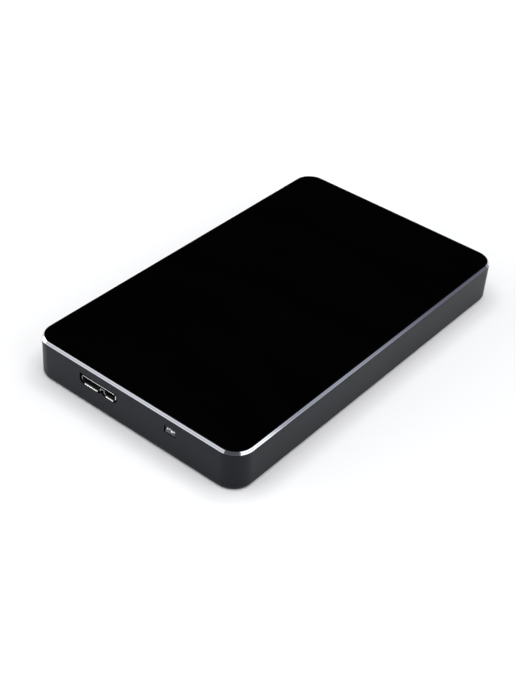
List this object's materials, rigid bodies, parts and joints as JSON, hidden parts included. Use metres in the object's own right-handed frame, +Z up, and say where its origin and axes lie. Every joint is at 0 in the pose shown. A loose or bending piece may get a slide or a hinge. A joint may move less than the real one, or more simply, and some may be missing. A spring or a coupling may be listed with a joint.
{
  "type": "portable external hard drive",
  "caption": "Flat rounded box with a dark gloss top, a bright-cut edge and a metal frame, with a data port and a status light in one end, holding a disk drive and its bridge board.",
  "frame": {"origin": "on the table, under the middle of the case", "axes": "+Z up, +Y along the length away from the data port, +X across the width"},
  "size_m": [0.077, 0.129, 0.0134],
  "materials": {
    "dark_anodised_frame": "bead blasted and anodised, with a bright-cut edge",
    "gloss_panel": "polished",
    "adhesive_tape": "dull",
    "cover_plastic": "fine moulded grain",
    "black_rubber": "matt",
    "foam": "open cell",
    "screw_steel": "zinc plated",
    "port_steel": "tin plated",
    "connector_plastic": "moulded",
    "gilt_contacts": "gold plated",
    "board_laminate": "solder mask",
    "chip_resin": "moulded",
    "lamp_resin": "moulded",
    "clear_guide": "clear moulding",
    "cast_aluminium": "die cast and machined",
    "stamped_steel": "stamped",
    "motor_steel": "ground",
    "plated_magnet": "nickel plated",
    "platter_coating": "polished",
    "coil_copper": "enamelled wire",
    "ramp_plastic": "moulded",
    "capacitor_ceramic": "fired",
    "slider_ceramic": "lapped"
  },
  "bodies": {
    "case": {"case_frame": "dark_anodised_frame", "top_panel": "gloss_panel", "panel_tape": "adhesive_tape", "bottom_cover": "cover_plastic", "rubber_feet": "black_rubber", "left_rail": "black_rubber", "right_rail": "black_rubber", "rear_strip": "black_rubber", "drive_gasket": "black_rubber", "upper_foam": "foam", "lower_foam": "foam", "air_filter": "foam", "case_screws": "screw_steel", "board_screws": "screw_steel", "drive_board_screws": "screw_steel", "cover_screws": "screw_steel", "data_port_shell": "port_steel", "crystal": "port_steel", "data_port_insert": "connector_plastic", "drive_socket": "connector_plastic", "drive_plug": "connector_plastic", "data_port_contacts": "gilt_contacts", "plug_contacts": "gilt_contacts", "bridge_board": "board_laminate", "drive_board": "board_laminate", "bridge_chip": "chip_resin", "memory_chip": "chip_resin", "controller_chip": "chip_resin", "motor_driver": "chip_resin", "cache_chip": "chip_resin", "power_coil": "chip_resin", "status_lamp": "lamp_resin", "light_guide": "clear_guide", "drive_base": "cast_aluminium", "drive_cover": "stamped_steel", "lower_yoke": "stamped_steel", "upper_yoke": "stamped_steel", "bearing_sleeve": "motor_steel", "motor_stator": "motor_steel", "pivot_post": "motor_steel", "lower_magnet": "plated_magnet", "upper_magnet": "plated_magnet", "load_ramp": "ramp_plastic", "capacitors": "capacitor_ceramic"},
    "spindle": {"spindle_shaft": "motor_steel", "spindle_hub": "cast_aluminium", "rotor_magnet": "plated_magnet", "lower_platter": "platter_coating", "platter_spacer": "cast_aluminium", "upper_platter": "platter_coating", "platter_clamp": "cast_aluminium", "clamp_screw": "screw_steel"},
    "actuator": {"pivot_bearing": "motor_steel", "actuator_arm": "cast_aluminium", "voice_coil": "coil_copper", "head_suspensions": "stamped_steel", "head_sliders": "slider_ceramic"}
  },
  "joints": [
    {"name": "platter_spin", "type": "hinge", "parent": "case", "child": "spindle", "pos_m": [0, 0.02657, 0.007], "axis": [0, 0, 1], "continuous": true},
    {"name": "actuator_swing", "type": "hinge", "parent": "case", "child": "actuator", "pos_m": [-0.0104, -0.01412, 0.008], "axis": [0, 0, 1], "range_deg": [0, 32.2]}
  ]
}
